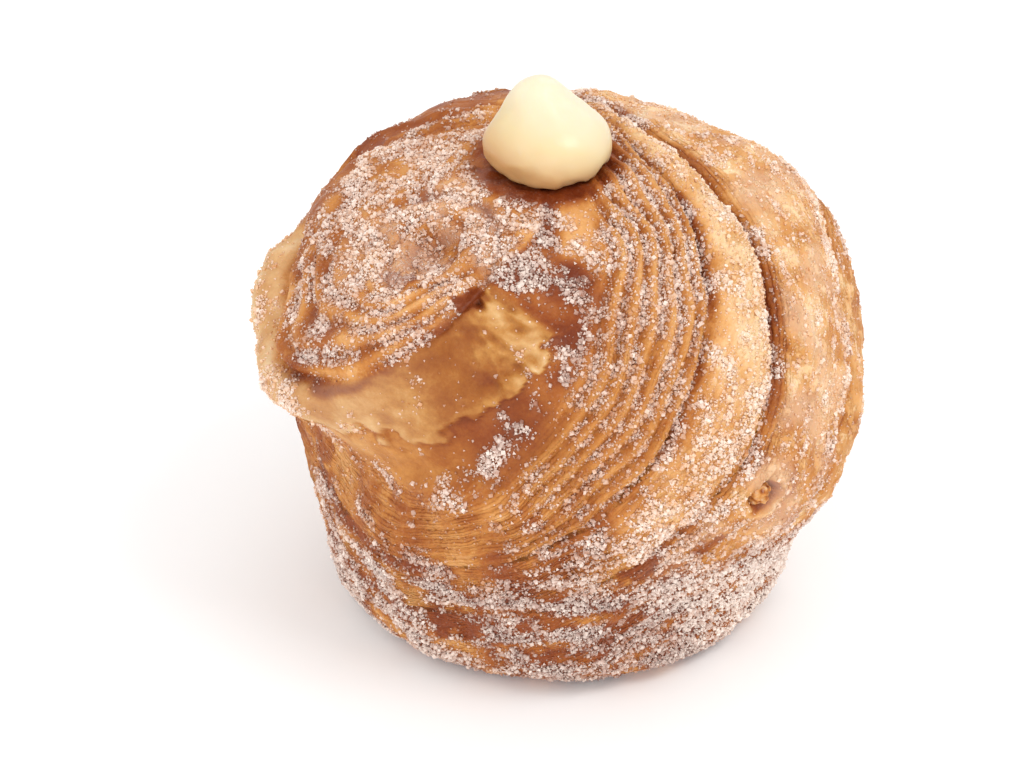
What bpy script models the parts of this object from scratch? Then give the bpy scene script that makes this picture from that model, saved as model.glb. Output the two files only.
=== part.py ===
"""A cruffin: a strip of laminated dough coiled on itself, baked in a deep tin, rolled in sugar and topped
with a dollop of pastry cream. Lengths are millimetres and angles degrees until a mesh is written in metres.
The crust is star-shaped about the heart of the bun, so one distance along each ray from the heart gives it.
Swirl angles: alpha is measured away from the eye of the coil, beta round the eye, from the right, upwards."""

import bmesh
import bpy
import numpy as np
from mathutils import Matrix, Vector

MM = 0.001
FAR = 400.0
TINY = 0.001

# Form of the bun: a tapered foot from the tin, a dome, its wider right side and the tilted head of the coil.
HEART = np.array((0.0, 0.0, 36.0))
MEAN_RADIUS = 40.0
FOOT_RADIUS = 31.2
FOOT_FLARE = 0.23
FOOT_SHIFT = 0.5
FOOT_TOP_CENTRE, FOOT_TOP_RADII = (0.0, 0.0, 21.0), (48.0, 48.0, 24.0)
FOOT_TOP_BLEND, FOOT_TOP_LOWEST = 3.0, -0.6
DOME_CENTRE, DOME_RADII, DOME_BLEND = (-0.5, 4.0, 39.0), (41.2, 39.5, 32.0), 2.0
WRAP_CENTRE, WRAP_RADII, WRAP_BLEND = (8.0, 0.0, 37.0), (34.4, 38.0, 34.0), 3.0
HEAD_CENTRE, HEAD_RADII, HEAD_BLEND = (-12.5, -5.0, 45.0), (28.0, 29.0, 22.0), 1.5
HEAD_TILT = 28.0
HEAD_LEAN = (-21.9, -13.0, 0.0)
FLOOR_BLEND = 9.0
FOOT_TRIM = 0.4
RELIEF_STARTS = (1.0, 6.0)

# Coil: the seam is one spiral line of (wound angle, alpha). It is wound clockwise outwards from the tip,
# where the strip ends on the knob.
EYE_POINT = (-17.5, -18.0, 28.2)
TIP_BETA = 285.0
SEAM = ((-760, -6), (-540, 1.5), (-360, 6), (-180, 12.5), (-90, 14), (-30, 15.5), (0, 18.5), (33, 25.5),
        (60, 32), (106, 37.5), (128, 42), (165, 50), (195, 56), (225, 56.5), (260, 52), (307, 59.4),
        (347, 67), (411, 72), (465, 74), (525, 74), (565, 70), (605, 60), (621, 61), (646, 68), (669, 76),
        (687, 80), (785, 84), (850, 88), (945, 92), (1030, 107), (1061, 107), (1110, 100), (1200, 105),
        (1365, 122), (1800, 160), (2160, 184), (2900, 250))
SEAM_CUT = ((-720, 0.2), (-300, 0.4), (-90, 0.5), (-40, 1.2), (0, 0.9), (30, 0.2), (200, 0.3), (250, 0.9),
            (300, 1.0), (325, 0.5), (345, 0.2), (430, 0.2), (560, 0.5), (620, 1.2), (655, 1.2), (680, 0.4),
            (740, 0.2), (1200, 0.5))
SEAM_WIDTH, SEAM_WAVER, SEAM_WAVER_LENGTH = 1.3, 0.3, 11
STRIP_SWELL = ((-720, 0.1), (-300, 0.3), (0, 0.2), (200, 0.3), (250, 0.8), (290, 1.1), (325, 0.6), (370, 0.3),
               (560, 0.6), (630, 1.4), (665, 1.1), (700, 0.5), (760, 0.6), (1200, 0.6))
FIRST_TURN, LAST_TURN = -2, 6

# Knob, with the pale torn skirt below its edge and the rolled edge on its left: (beta, alpha or height).
# A span is where a feature starts, is full, starts to end, and ends, as beta round the eye.
CROWN_RISE, CROWN_EDGE, CROWN_FOOT = 1.2, 10, 55
EYE_DIP, EYE_WIDTH = 1.5, 9
KNOB_EDGE = ((330, 17), (300, 17.5), (285, 18.5), (252, 25.4), (225, 32.3), (203, 38), (179, 38), (157, 40),
             (120, 40), (60, 30), (0, 22))
SKIRT_HEM = ((340, 36), (319, 34), (300, 35), (281, 35.5), (262, 40.5), (250, 39.8), (236, 41), (220, 45),
             (212, 48), (195, 50), (180, 51), (150, 52), (120, 54), (90, 50), (40, 42), (0, 38))
HEM_STEP = ((150, 0), (175, 0.4), (225, 0.5), (300, 0.55), (316, 0.4), (325, 0), (60, 0))
KNOB_RISE = ((330, 0.6), (300, 1.4), (285, 2.2), (262, 3.6), (240, 4.4), (222, 4.4), (200, 3.0), (170, 1.4),
             (150, 0.5), (120, 0.0), (60, 0.0), (0, 0.2))
ROLL_RISE = ((148, 0), (153, 0.6), (160, 2.6), (170, 3.0), (180, 2.8), (190, 2.1), (207, 3.0), (225, 1.0),
             (245, 0), (40, 0))
RIM_LINE = ((160, 38), (148, 41), (132, 45), (115, 52), (102, 58), (88, 70), (60, 80), (0, 80), (270, 40),
            (200, 36))
RIM_RISE = ((50, 0), (70, 0.8), (88, 0.4), (104, 2.0), (113, 2.2), (128, 1.5), (148, 0.9), (160, 0), (250, 0),
            (10, 0))
RIM_WIDTH = 12
TEARS = ((1.1, 7, 31), (0.6, 2.6, 32))
EDGE_CUT, EDGE_CUT_WIDTH, EDGE_CUT_SPAN = 1.4, 0.16, (148, 162, 222, 240)
UNDERCUT, UNDERCUT_BELOW, UNDERCUT_WIDTH, UNDERCUT_SPAN = 4.4, 12, 11, (172, 200, 232, 262)
SIDE_HOLLOW, SIDE_HOLLOW_AT, SIDE_HOLLOW_WIDTH, SIDE_HOLLOW_SPAN = 1.7, 96, 11, (310, 340, 365, 390)

# The outer turn bulges unevenly round the right side: (beta, height).
OUTER_BULGE = ((60, 0), (42, -0.3), (28, 1.4), (15, 0.9), (3, 0), (350, 0), (340, 0.8), (329, 1.4), (321, 0.6),
               (311, -0.5), (298, -0.8), (280, -0.3), (250, 0), (150, 0))
OUTER_BULGE_AT, OUTER_BULGE_WIDTH = 112, 22

# Leaves: the edges of the dough layers run along each turn of the coil as ridges.
LEAVES = 10
LEAF_WAVER, LEAF_WAVER_LENGTH = 0.16, 16
BUNCH_AT, BUNCH_WIDTH = 40, 260
FAN_END, OUTER_LEAF_SHARE = 60, 0.3
LEAF_BUNCH = ((0, 1.6), (45, 1.4), (90, 1.3), (135, 1.3), (180, 1.8), (235, 2.4), (270, 2.2), (300, 1.8))
LEAF_RISE = ((0, 0.9), (30, 0.8), (60, 0.5), (120, 0.3), (180, 0.3), (225, 0.5), (285, 0.5), (320, 0.8))
LEAF_START = ((0, 36), (40, 38), (90, 44), (180, 56), (235, 56), (262, 54), (290, 48), (320, 40))
KNOB_LEAVES, KNOB_LEAF_BUNCH = 6, 1.2
KNOB_LEAF_WAVER, KNOB_LEAF_WAVER_LENGTH = 0.2, 14
KNOB_LEAF_RISE, KNOB_LEAF_SPAN = 0.6, (140, 190, 285, 300)

# Unevenness of the whole crust: (height, length, seed).
LUMPS = ((0.4, 26, 11), (0.2, 12, 12))

# A broken blister low on the right, and the dimple that holds the cream.
HOLE_POINT = (27.2, -32.2, 33.5)
HOLE_RADIUS, HOLE_DEPTH, HOLE_RIM = 2.3, 2.0, 0.4
DIMPLE_POINT = (-1.9, -4.7, 72.0)
DIMPLE_RADIUS, DIMPLE_DEPTH = 10.0, 1.0

# Cream: a wide round foot with a lip on its left and a soft peak leaning left.
CREAM_HEART = np.array((-2.2, -4.0, 75.5))
CREAM_FOOT_CENTRE, CREAM_FOOT_RADII = (-1.4, -4.9, 72.9), (8.4, 8.5, 6.2)
CREAM_PEAK_CENTRE, CREAM_PEAK_RADII = (-3.0, -3.5, 75.9), (5.0, 5.4, 6.2)
CREAM_BLEND = 2.6
CREAM_LIP, CREAM_LIP_RISE, CREAM_LIP_WIDTH = (-9.6, -2.2, -1.6), 1.2, 24
CREAM_EDGE = 0.3
CREAM_GAP = 0.45
HALVINGS = 14

# Sugar: the largest crystals, half sunk in the crust.
GRAIN_COUNT = 110
GRAIN_SIZE = (0.9, 1.3)
GRAIN_SPACING = 3.0
GRAIN_STAND = 0.12
SUGAR_SEED = 41
KNOB_SUGAR_SHARE, KNOB_SUGAR_FROM, KNOB_SUGAR_TO = 0.9, 90, 300
FAN_BARE_FROM, FAN_BARE_TO = 200, 325
FOOT_SUGAR_LOWEST, FOOT_SUGAR_HIGHEST = 5.0, 24.0
SUGAR_CLEARANCE = 1.5

BODY_SEGMENTS, BODY_RINGS = 300, 260
BODY_TRIANGLES = 8000
CREAM_SEGMENTS, CREAM_RINGS = 36, 20


def unit(vectors):
    vectors = np.asarray(vectors, float)
    return vectors / np.linalg.norm(vectors, axis=-1, keepdims=True)


EYE = unit(EYE_POINT)
ACROSS = unit(np.array((1.0, 0.0, 0.0)) - EYE * EYE[0])
OVER = np.cross(EYE, ACROSS)


def fade(x, start, end):
    """Rises smoothly from 0 at start to 1 at end."""
    t = np.clip((x - start) / (end - start), 0, 1)
    return t * t * (3 - 2 * t)


def hump(x, middle, width):
    return np.exp(-((x - middle) / width) ** 2)


def smooth_line(x, stations):
    """A smooth curve through stations of (position, value), level beyond both ends."""
    at, value = np.array(stations, float).T
    slope = np.gradient(value, at)
    x = np.clip(x, at[0], at[-1])
    i = np.clip(np.searchsorted(at, x) - 1, 0, len(at) - 2)
    span = at[i + 1] - at[i]
    t = (x - at[i]) / span
    ends = (1 + 2 * t) * (1 - t) ** 2 * value[i] + t * t * (3 - 2 * t) * value[i + 1]
    return ends + span * (t * (1 - t) ** 2 * slope[i] + t * t * (t - 1) * slope[i + 1])


def smooth_ring(angle, stations):
    """The same curve closed on itself over a full turn."""
    ordered = sorted((at % 360, value) for at, value in stations)
    before = [(at - 360, value) for at, value in ordered[-2:]]
    after = [(at + 360, value) for at, value in ordered[:2]]
    return smooth_line(np.asarray(angle) % 360, before + ordered + after)


def along(beta, span):
    """1 along a stretch of the turn, fading out to nothing at both of its ends."""
    at = (beta - span[0]) % 360
    return fade(at, 0, span[1] - span[0]) * (1 - fade(at, span[2] - span[0], span[3] - span[0]))


def ripple(points, size, seed, waves=14):
    """Smooth bumps about one unit high and as wide as size: a sum of plane waves."""
    draw = np.random.default_rng(seed)
    pull = unit(draw.normal(size=(waves, 3))) * (2 * np.pi / size) * draw.uniform(0.6, 1.5, (waves, 1))
    phase = draw.uniform(0, 2 * np.pi, waves)
    return np.sin(points @ pull.T + phase).sum(-1) * np.sqrt(2 / waves)


def blend_max(a, b, soft):
    share = np.clip(0.5 + 0.5 * (a - b) / soft, 0, 1)
    return b * (1 - share) + a * share + soft * share * (1 - share)


def blend_min(a, b, soft):
    return -blend_max(-a, -b, soft)


def ellipsoid_reach(rays, heart, centre, radii, turn=np.eye(3)):
    """Distance along each ray from the heart to the far side of an ellipsoid, 0 where it misses."""
    start = (heart - np.array(centre)) @ turn / np.array(radii)
    step = rays @ turn / np.array(radii)
    a = (step * step).sum(-1)
    b = (step * start).sum(-1)
    room = b * b - a * ((start * start).sum() - 1)
    return np.where(room > 0, (np.sqrt(np.maximum(room, 0)) - b) / a, 0)


def head_turn():
    """Axes of the head, its top leaning forwards and left."""
    lean, tilt = unit(HEAD_LEAN), np.radians(HEAD_TILT)
    top = lean * np.sin(tilt) + np.array((0, 0, np.cos(tilt)))
    right = unit(np.cross((0, 1, 0), top))
    return np.stack([right, np.cross(top, right), top], 1)


def form_reach(rays):
    """The bun without relief."""
    side, rise = np.hypot(rays[:, 0], rays[:, 1]), rays[:, 2]
    radius = FOOT_RADIUS + FOOT_SHIFT * rays[:, 0] / np.maximum(side, TINY) + FOOT_FLARE * HEART[2]
    foot = np.minimum(radius / np.maximum(side - FOOT_FLARE * rise, TINY), FAR)
    foot_top = ellipsoid_reach(rays, HEART, FOOT_TOP_CENTRE, FOOT_TOP_RADII)
    reach = blend_min(foot, np.where(rise > FOOT_TOP_LOWEST, foot_top, FAR), FOOT_TOP_BLEND)
    reach = blend_max(reach, ellipsoid_reach(rays, HEART, DOME_CENTRE, DOME_RADII), DOME_BLEND)
    reach = blend_max(reach, ellipsoid_reach(rays, HEART, WRAP_CENTRE, WRAP_RADII), WRAP_BLEND)
    return blend_max(reach, ellipsoid_reach(rays, HEART, HEAD_CENTRE, HEAD_RADII, head_turn()), HEAD_BLEND)


def floor_reach(rays):
    """The underside, FOOT_TRIM below the cut that makes the foot flat."""
    return np.where(rays[:, 2] < -TINY, (HEART[2] + FOOT_TRIM) / np.maximum(-rays[:, 2], TINY), FAR)


def swirl(rays):
    """Where each ray leaves the coil: its swirl angles, and its share of the way across its own strip."""
    alpha = np.degrees(np.arccos(np.clip(rays @ EYE, -1, 1)))
    beta = np.degrees(np.arctan2(rays @ OVER, rays @ ACROSS)) % 360
    wound = (TIP_BETA - beta) % 360
    seams = np.stack([smooth_line(wound + 360 * turn, SEAM) for turn in range(FIRST_TURN, LAST_TURN + 1)])
    strip = np.clip((alpha >= seams).sum(0) - 1, 0, len(seams) - 2)
    inner = np.take_along_axis(seams, strip[None], 0)[0]
    outer = np.take_along_axis(seams, strip[None] + 1, 0)[0]
    share = np.clip((alpha - inner) / (outer - inner), 0, 1)
    return {"alpha": alpha, "beta": beta, "inner": inner, "outer": outer, "share": share,
            "wound": wound + 360 * (strip + FIRST_TURN), "points": rays * MEAN_RADIUS,
            "edge": smooth_ring(beta, KNOB_EDGE),
            "hem": np.maximum(smooth_ring(beta, SKIRT_HEM), smooth_ring(beta, KNOB_EDGE) + 3)}


def torn_line(at):
    """The ragged lower edge of the pale layer, as alpha beyond the hem."""
    ragged = sum(depth * ripple(at["points"], length, seed) for depth, length, seed in TEARS)
    return at["alpha"] - at["hem"] - ragged


def knob_relief(at):
    """The knob stands proud of its skirt and dips at its eye; on the left it is rolled and undercut."""
    alpha, beta, edge, hem = at["alpha"], at["beta"], at["edge"], at["hem"]
    down = (alpha - edge) / (hem - edge)
    slope = (1 - np.clip(down, 0, 1)) ** 1.5
    roll = np.sin(np.pi * np.clip(down, 0, 1)) ** 0.6
    on_skirt = fade(down, -0.05, 0.1) * (1 - fade(torn_line(at), -0.3, 0.4))
    height = CROWN_RISE * (1 - fade(alpha, CROWN_EDGE, CROWN_FOOT)) - EYE_DIP * hump(alpha, 0, EYE_WIDTH)
    height += smooth_ring(beta, KNOB_RISE) * fade(alpha / edge, 0.1, 0.9) * slope
    height += smooth_ring(beta, ROLL_RISE) * roll
    height += smooth_ring(beta, HEM_STEP) * on_skirt
    height += smooth_ring(beta, RIM_RISE) * hump(alpha, smooth_ring(beta, RIM_LINE), RIM_WIDTH)
    height -= EDGE_CUT * along(beta, EDGE_CUT_SPAN) * hump(down, 0, EDGE_CUT_WIDTH)
    height -= UNDERCUT * along(beta, UNDERCUT_SPAN) * hump(alpha, hem + UNDERCUT_BELOW, UNDERCUT_WIDTH)
    height -= SIDE_HOLLOW * along(beta, SIDE_HOLLOW_SPAN) * hump(alpha, SIDE_HOLLOW_AT, SIDE_HOLLOW_WIDTH)
    return height + smooth_ring(beta, OUTER_BULGE) * hump(alpha, OUTER_BULGE_AT, OUTER_BULGE_WIDTH)


def strip_relief(at):
    """Each turn of the strip swells between the grooves where it meets its neighbours."""
    alpha, wound, share = at["alpha"], at["wound"], at["share"]
    pillow = np.clip(4 * share * (1 - share), 0, 1) ** 0.7
    width = SEAM_WIDTH + SEAM_WAVER * ripple(at["points"], SEAM_WAVER_LENGTH, 5)
    height = smooth_line(wound, STRIP_SWELL) * pillow
    height -= smooth_line(wound, SEAM_CUT) * hump(alpha, at["inner"], width)
    return height - smooth_line(wound + 360, SEAM_CUT) * hump(alpha, at["outer"], width)


def leaf_number(at):
    """Counts the leaves across each point's own strip, or across the knob."""
    bunch = 1 + (smooth_ring(at["beta"], LEAF_BUNCH) - 1) * hump(at["wound"], BUNCH_AT, BUNCH_WIDTH)
    strip_leaf = LEAVES * at["share"] ** bunch + LEAF_WAVER * ripple(at["points"], LEAF_WAVER_LENGTH, 21)
    across = at["alpha"] / at["edge"]
    knob_waver = KNOB_LEAF_WAVER * ripple(at["points"], KNOB_LEAF_WAVER_LENGTH, 22)
    return np.where(across < 1, KNOB_LEAVES * across ** KNOB_LEAF_BUNCH + knob_waver, strip_leaf)


def crest(leaf):
    """A rounded ridge along the middle of each leaf, with sharp valleys between leaves."""
    return np.abs(np.sin(np.pi * leaf)) ** 0.8


def leaf_relief(at):
    """Ridges of the leaves, low on the outer turns, and finer ones round the knob."""
    alpha, beta, across = at["alpha"], at["beta"], at["alpha"] / at["edge"]
    start = smooth_ring(beta, LEAF_START)
    rise = smooth_ring(beta, LEAF_RISE) * fade(alpha, start - 3, start + 4)
    rise = rise * np.where(at["wound"] < FAN_END, 1.0, OUTER_LEAF_SHARE)
    on_knob = along(beta, KNOB_LEAF_SPAN) * fade(across, 0.3, 0.5) * (1 - fade(across, 0.96, 1))
    return (rise + KNOB_LEAF_RISE * on_knob) * (crest(leaf_number(at)) - 0.6)


def distance_over(rays, point):
    """Distance over the crust, roughly, from the ray through a point."""
    point = np.array(point) - HEART
    return np.linalg.norm(rays * np.linalg.norm(point) - point, axis=-1)


def crust_relief(rays):
    at = swirl(rays)
    height = strip_relief(at) + leaf_relief(at)
    height += sum(rise * ripple(at["points"], length, seed) for rise, length, seed in LUMPS)
    under_cream = distance_over(rays, DIMPLE_POINT) / DIMPLE_RADIUS
    height = height * fade(under_cream, 0.6, 1.2)
    height -= DIMPLE_DEPTH * (1 - fade(under_cream, 0.5, 1.1))
    hole = distance_over(rays, HOLE_POINT) / HOLE_RADIUS
    height -= HOLE_DEPTH * np.exp(-hole ** 4) - HOLE_RIM * hump(hole, 1.3, 0.3)
    return height + knob_relief(at)


def crust_reach(rays):
    reach = form_reach(rays)
    above_floor = HEART[2] + reach * rays[:, 2]
    reach = reach + crust_relief(rays) * fade(above_floor, *RELIEF_STARTS)
    return blend_min(reach, floor_reach(rays), FLOOR_BLEND)


def cream_reach(rays):
    """The dollop, cut off CREAM_GAP above the crust, which is found by halving the way along each ray."""
    off_lip = np.degrees(np.arccos(np.clip(rays @ unit(CREAM_LIP), -1, 1)))
    foot = ellipsoid_reach(rays, CREAM_HEART, CREAM_FOOT_CENTRE, CREAM_FOOT_RADII)
    foot = foot + CREAM_LIP_RISE * hump(off_lip, 0, CREAM_LIP_WIDTH)
    peak = ellipsoid_reach(rays, CREAM_HEART, CREAM_PEAK_CENTRE, CREAM_PEAK_RADII)
    reach = blend_max(foot, peak, CREAM_BLEND)
    clear, blocked = np.zeros_like(reach), reach
    for _ in range(HALVINGS):
        middle = (clear + blocked) / 2
        out = CREAM_HEART + middle[:, None] * rays - HEART
        free = np.linalg.norm(out, axis=-1) > crust_reach(unit(out)) + CREAM_GAP
        clear, blocked = np.where(free, middle, clear), np.where(free, blocked, middle)
    out = CREAM_HEART + reach[:, None] * rays - HEART
    whole = np.linalg.norm(out, axis=-1) > crust_reach(unit(out)) + CREAM_GAP
    return np.where(whole, reach, blend_min(reach, clear, CREAM_EDGE))


def ball(name, segments, rings, axes, heart, reach_of, material):
    """A closed skin: a ball with its pole on the third axis, each point moved out to its own reach."""
    mesh = bpy.data.meshes.new(name)
    shell = bmesh.new()
    bmesh.ops.create_uvsphere(shell, u_segments=segments, v_segments=rings, radius=1)
    rays = unit(np.array([vertex.co for vertex in shell.verts]) @ axes)
    points = (heart + reach_of(rays)[:, None] * rays) * MM
    for vertex, point in zip(shell.verts, points):
        vertex.co = point
    shell.to_mesh(mesh)
    shell.free()
    mesh.shade_smooth()
    mesh.materials.append(material)
    piece = bpy.data.objects.new(name, mesh)
    bpy.context.scene.collection.objects.link(piece)
    return piece


def material(name, colour, roughness):
    made = bpy.data.materials.new(name)
    made.use_nodes = True
    shader = made.node_tree.nodes["Principled BSDF"]
    shader.inputs["Base Color"].default_value = (*colour, 1)
    shader.inputs["Roughness"].default_value = roughness
    shader.inputs["Metallic"].default_value = 0
    return made


def sugared(ray):
    """True where coarse sugar sticks: the knob, the shoulder and fan of leaves, and all round the foot."""
    at = swirl(ray[None])
    alpha, beta, height = at["alpha"][0], at["beta"][0], (HEART + ray * crust_reach(ray[None]))[2]
    on_knob = alpha < KNOB_SUGAR_SHARE * at["edge"][0] and KNOB_SUGAR_FROM < beta < KNOB_SUGAR_TO
    on_fan = at["wound"][0] < FAN_END and not FAN_BARE_FROM < beta < FAN_BARE_TO
    on_foot = FOOT_SUGAR_LOWEST < height < FOOT_SUGAR_HIGHEST
    bare = distance_over(ray[None], DIMPLE_POINT)[0] < SUGAR_CLEARANCE * DIMPLE_RADIUS
    return (on_knob or on_fan or on_foot) and not bare


def grain_places():
    """Spots for the crystals, drawn at random and kept apart, each with a random turn and size."""
    draw = np.random.default_rng(SUGAR_SEED)
    places = []
    while len(places) < GRAIN_COUNT:
        ray = unit(draw.normal(size=3))
        spot = HEART + ray * (crust_reach(ray[None]) + GRAIN_STAND)
        near = any(np.linalg.norm(spot - other) < GRAIN_SPACING for other, _, _ in places)
        if sugared(ray) and not near:
            turn = Vector(draw.normal(size=4)).normalized()
            places.append((spot, turn, draw.uniform(*GRAIN_SIZE)))
    return places


def fuse_grains(body):
    """Joins the crystals to the crust as one solid."""
    grains = bpy.data.collections.new("grains")
    bpy.context.scene.collection.children.link(grains)
    for spot, turn, size in grain_places():
        cube = bmesh.new()
        place = Matrix.Translation(spot * MM) @ Matrix.Rotation(2 * np.arccos(turn[0]), 4, Vector(turn[1:]))
        bmesh.ops.create_cube(cube, size=size * MM, matrix=place)
        mesh = bpy.data.meshes.new("grain")
        cube.to_mesh(mesh)
        cube.free()
        grains.objects.link(bpy.data.objects.new("grain", mesh))
    union = body.modifiers.new("fuse", "BOOLEAN")
    union.operation = "UNION"
    union.operand_type = "COLLECTION"
    union.collection = grains
    union.solver = "MANIFOLD"
    apply_modifiers(body)
    for grain in list(grains.objects):
        bpy.data.objects.remove(grain)
    bpy.data.collections.remove(grains)


def apply_modifiers(piece):
    bpy.context.view_layer.update()
    seen = piece.evaluated_get(bpy.context.evaluated_depsgraph_get())
    mesh = bpy.data.meshes.new_from_object(seen)
    piece.modifiers.clear()
    piece.data = mesh


def cut_flat(piece):
    """Cuts the foot off level at z = 0 and closes it with one flat face."""
    body = bmesh.new()
    body.from_mesh(piece.data)
    whole = body.verts[:] + body.edges[:] + body.faces[:]
    cut = bmesh.ops.bisect_plane(body, geom=whole, plane_co=(0, 0, 0), plane_no=(0, 0, -1), clear_outer=True)
    rim = [edge for edge in cut["geom_cut"] if isinstance(edge, bmesh.types.BMEdge)]
    for vertex in {corner for edge in rim for corner in edge.verts}:
        vertex.co.z = 0
    bmesh.ops.contextual_create(body, geom=rim)
    bmesh.ops.recalc_face_normals(body, faces=body.faces[:])
    body.to_mesh(piece.data)
    body.free()


def make_pastry():
    crust = material("crust", (0.50, 0.22, 0.06), 0.5)
    body = ball("pastry", BODY_SEGMENTS, BODY_RINGS, np.stack([ACROSS, OVER, EYE]), HEART, crust_reach, crust)
    spare = body.modifiers.new("thin out", "DECIMATE")
    spare.use_collapse_triangulate = True
    spare.ratio = BODY_TRIANGLES / (2 * BODY_SEGMENTS * (BODY_RINGS - 1))
    apply_modifiers(body)
    cut_flat(body)
    fuse_grains(body)


def make_cream():
    cream = material("cream", (0.86, 0.76, 0.42), 0.3)
    ball("cream", CREAM_SEGMENTS, CREAM_RINGS, np.eye(3), CREAM_HEART, cream_reach, cream)


def main():
    for old in list(bpy.data.objects):
        bpy.data.objects.remove(old)
    make_pastry()
    make_cream()


main()
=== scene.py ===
"""Looks of the cruffin: a fine crust with its leaves, flakes and blisters, sugar crystals and glossy cream.
Lengths are millimetres and angles degrees until a mesh is written in metres."""

import math
from types import SimpleNamespace

import bpy
import numpy as np
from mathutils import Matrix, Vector


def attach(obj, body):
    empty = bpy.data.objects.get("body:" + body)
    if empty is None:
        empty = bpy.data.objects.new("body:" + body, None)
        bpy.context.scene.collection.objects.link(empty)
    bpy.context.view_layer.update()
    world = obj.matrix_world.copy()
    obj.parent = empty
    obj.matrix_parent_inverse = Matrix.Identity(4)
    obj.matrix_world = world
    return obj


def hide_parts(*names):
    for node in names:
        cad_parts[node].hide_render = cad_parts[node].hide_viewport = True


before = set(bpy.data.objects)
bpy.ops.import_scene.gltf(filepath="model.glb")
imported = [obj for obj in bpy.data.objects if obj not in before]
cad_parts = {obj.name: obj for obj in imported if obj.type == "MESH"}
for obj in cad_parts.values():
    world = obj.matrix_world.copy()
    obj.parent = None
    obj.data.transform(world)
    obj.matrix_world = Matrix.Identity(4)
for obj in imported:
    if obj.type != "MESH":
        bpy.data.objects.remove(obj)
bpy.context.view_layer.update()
MM = 0.001
FAR = 400.0
TINY = 0.001

# --- form of the crust and cream, as in the solids ---

# Form of the bun: a tapered foot from the tin, a dome, its wider right side and the tilted head of the coil.
HEART = np.array((0.0, 0.0, 36.0))
MEAN_RADIUS = 40.0
FOOT_RADIUS = 31.2
FOOT_FLARE = 0.23
FOOT_SHIFT = 0.5
FOOT_TOP_CENTRE, FOOT_TOP_RADII = (0.0, 0.0, 21.0), (48.0, 48.0, 24.0)
FOOT_TOP_BLEND, FOOT_TOP_LOWEST = 3.0, -0.6
DOME_CENTRE, DOME_RADII, DOME_BLEND = (-0.5, 4.0, 39.0), (41.2, 39.5, 32.0), 2.0
WRAP_CENTRE, WRAP_RADII, WRAP_BLEND = (8.0, 0.0, 37.0), (34.4, 38.0, 34.0), 3.0
HEAD_CENTRE, HEAD_RADII, HEAD_BLEND = (-12.5, -5.0, 45.0), (28.0, 29.0, 22.0), 1.5
HEAD_TILT = 28.0
HEAD_LEAN = (-21.9, -13.0, 0.0)
FLOOR_BLEND = 9.0
FOOT_TRIM = 0.4
RELIEF_STARTS = (1.0, 6.0)

# Coil: the seam is one spiral line of (wound angle, alpha). It is wound clockwise outwards from the tip,
# where the strip ends on the knob.
EYE_POINT = (-17.5, -18.0, 28.2)
TIP_BETA = 285.0
SEAM = ((-760, -6), (-540, 1.5), (-360, 6), (-180, 12.5), (-90, 14), (-30, 15.5), (0, 18.5), (33, 25.5),
        (60, 32), (106, 37.5), (128, 42), (165, 50), (195, 56), (225, 56.5), (260, 52), (307, 59.4),
        (347, 67), (411, 72), (465, 74), (525, 74), (565, 70), (605, 60), (621, 61), (646, 68), (669, 76),
        (687, 80), (785, 84), (850, 88), (945, 92), (1030, 107), (1061, 107), (1110, 100), (1200, 105),
        (1365, 122), (1800, 160), (2160, 184), (2900, 250))
SEAM_CUT = ((-720, 0.2), (-300, 0.4), (-90, 0.5), (-40, 1.2), (0, 0.9), (30, 0.2), (200, 0.3), (250, 0.9),
            (300, 1.0), (325, 0.5), (345, 0.2), (430, 0.2), (560, 0.5), (620, 1.2), (655, 1.2), (680, 0.4),
            (740, 0.2), (1200, 0.5))
SEAM_WIDTH, SEAM_WAVER, SEAM_WAVER_LENGTH = 1.3, 0.3, 11
STRIP_SWELL = ((-720, 0.1), (-300, 0.3), (0, 0.2), (200, 0.3), (250, 0.8), (290, 1.1), (325, 0.6), (370, 0.3),
               (560, 0.6), (630, 1.4), (665, 1.1), (700, 0.5), (760, 0.6), (1200, 0.6))
FIRST_TURN, LAST_TURN = -2, 6

# Knob, with the pale torn skirt below its edge and the rolled edge on its left: (beta, alpha or height).
# A span is where a feature starts, is full, starts to end, and ends, as beta round the eye.
CROWN_RISE, CROWN_EDGE, CROWN_FOOT = 1.2, 10, 55
EYE_DIP, EYE_WIDTH = 1.5, 9
KNOB_EDGE = ((330, 17), (300, 17.5), (285, 18.5), (252, 25.4), (225, 32.3), (203, 38), (179, 38), (157, 40),
             (120, 40), (60, 30), (0, 22))
SKIRT_HEM = ((340, 36), (319, 34), (300, 35), (281, 35.5), (262, 40.5), (250, 39.8), (236, 41), (220, 45),
             (212, 48), (195, 50), (180, 51), (150, 52), (120, 54), (90, 50), (40, 42), (0, 38))
HEM_STEP = ((150, 0), (175, 0.4), (225, 0.5), (300, 0.55), (316, 0.4), (325, 0), (60, 0))
KNOB_RISE = ((330, 0.6), (300, 1.4), (285, 2.2), (262, 3.6), (240, 4.4), (222, 4.4), (200, 3.0), (170, 1.4),
             (150, 0.5), (120, 0.0), (60, 0.0), (0, 0.2))
ROLL_RISE = ((148, 0), (153, 0.6), (160, 2.6), (170, 3.0), (180, 2.8), (190, 2.1), (207, 3.0), (225, 1.0),
             (245, 0), (40, 0))
RIM_LINE = ((160, 38), (148, 41), (132, 45), (115, 52), (102, 58), (88, 70), (60, 80), (0, 80), (270, 40),
            (200, 36))
RIM_RISE = ((50, 0), (70, 0.8), (88, 0.4), (104, 2.0), (113, 2.2), (128, 1.5), (148, 0.9), (160, 0), (250, 0),
            (10, 0))
RIM_WIDTH = 12
TEARS = ((1.1, 7, 31), (0.6, 2.6, 32))
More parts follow.
